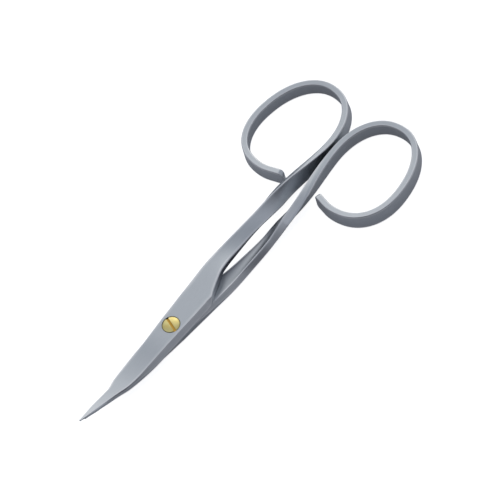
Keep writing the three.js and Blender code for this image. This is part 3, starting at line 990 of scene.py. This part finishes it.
# Light of the room by the share of the way from its dim front to its bright back, and from below
ROOM_FACES = Vector((0.66, 0.58, 0.47)).normalized()
ROOM = (
    (0.0, (0.025, 0.025, 0.03)),
    (0.27, (0.04, 0.04, 0.05)),
    (0.42, (0.15, 0.155, 0.18)),
    (0.55, (0.50, 0.525, 0.58)),
    (0.64, (0.55, 0.575, 0.635)),
    (0.74, (0.39, 0.415, 0.465)),
    (0.82, (0.39, 0.415, 0.465)),
    (0.9, (0.39, 0.42, 0.47)),
    (0.97, (1.0, 1.02, 1.05)),
    (1.0, (1.50, 1.47, 1.42)),
)
ROOM_PEAK = 2
NEW_STOP = 0.5
FROM_BELOW = (0.30, 0.305, 0.35)
HORIZON = (-0.25, 0.1)


def dimmed(light):
    """A light as a colour that stays under one, which the background's strength makes up for."""
    return (*(part / ROOM_PEAK for part in light), 1)


def room_light(tree, direction):
    """The room's light from a direction, by how much it points to the bright back."""
    towards = tree.nodes.new("ShaderNodeVectorMath")
    towards.operation = "DOT_PRODUCT"
    towards.inputs[1].default_value = ROOM_FACES
    tree.links.new(direction, towards.inputs[0])
    share = tree.nodes.new("ShaderNodeMapRange")
    share.inputs["From Min"].default_value = -1
    tree.links.new(towards.outputs["Value"], share.inputs["Value"])
    ramp = tree.nodes.new("ShaderNodeValToRGB")
    ramp.color_ramp.interpolation = "B_SPLINE"
    stops = ramp.color_ramp.elements
    while len(stops) < len(ROOM):
        stops.new(NEW_STOP)
    for stop, (position, light) in zip(stops, ROOM):
        stop.position = position
        stop.color = dimmed(light)
    tree.links.new(share.outputs["Result"], ramp.inputs["Fac"])
    return ramp.outputs["Color"]


def above_horizon(tree, direction):
    """Nothing below the horizon, all above it, and a smooth change between them."""
    height = tree.nodes.new("ShaderNodeSeparateXYZ")
    tree.links.new(direction, height.inputs[0])
    above = tree.nodes.new("ShaderNodeMapRange")
    above.interpolation_type = "SMOOTHSTEP"
    above.inputs["From Min"].default_value = HORIZON[0]
    above.inputs["From Max"].default_value = HORIZON[1]
    tree.links.new(height.outputs["Z"], above.inputs["Value"])
    return above.outputs["Result"]


def studio():
    """A soft room round the scissors: dim towards the camera and below, bright behind and above."""
    world = bpy.data.worlds.new("studio")
    bpy.context.scene.world = world
    world.use_nodes = True
    tree = world.node_tree
    direction = tree.nodes.new("ShaderNodeTexCoord").outputs["Generated"]
    room = tree.nodes.new("ShaderNodeMix")
    room.data_type = "RGBA"
    room.inputs["A"].default_value = dimmed(FROM_BELOW)
    tree.links.new(above_horizon(tree, direction), room.inputs["Factor"])
    tree.links.new(room_light(tree, direction), room.inputs["B"])
    seen = tree.nodes.new("ShaderNodeMix")
    seen.data_type = "RGBA"
    seen.inputs["B"].default_value = dimmed(WHITE)
    by_camera = tree.nodes.new("ShaderNodeLightPath").outputs["Is Camera Ray"]
    tree.links.new(by_camera, seen.inputs["Factor"])
    tree.links.new(room.outputs["Result"], seen.inputs["A"])
    tree.links.new(seen.outputs["Result"], tree.nodes["Background"].inputs["Color"])
    tree.nodes["Background"].inputs["Strength"].default_value = ROOM_PEAK


# Camera
TARGET = Vector((24.80, -2.33, 4.0)) * METRE
DISTANCE = 786.5 * METRE
AZIMUTH = math.radians(29.6)
ELEVATION = math.radians(55.4)
ROLL = math.radians(23)
LENS = 252
SENSOR_WIDTH = 36
CLIP_START = 50 * METRE


def camera():
    right = Vector((math.cos(AZIMUTH), -math.sin(AZIMUTH), 0))
    level = Vector((-math.sin(AZIMUTH), -math.cos(AZIMUTH), 0))
    back = level * math.cos(ELEVATION) + Vector((0, 0, math.sin(ELEVATION)))
    up = back.cross(right)
    leaning = up * math.cos(ROLL) + right * math.sin(ROLL)
    across = right * math.cos(ROLL) - up * math.sin(ROLL)
    data = bpy.data.cameras.new("camera")
    data.lens = LENS
    data.sensor_width = SENSOR_WIDTH
    data.clip_start = CLIP_START
    eye = bpy.data.objects.new("camera", data)
    axes = Matrix((across, leaning, back)).transposed().to_4x4()
    eye.matrix_world = Matrix.Translation(TARGET + back * DISTANCE) @ axes
    bpy.context.scene.collection.objects.link(eye)
    bpy.context.scene.camera = eye


steel = satin_steel()
upper_half(steel)
lower_half(steel)
pivot_screw(pale_brass())
floor()
studio()
camera()
bpy.context.scene.view_settings.view_transform = "Standard"
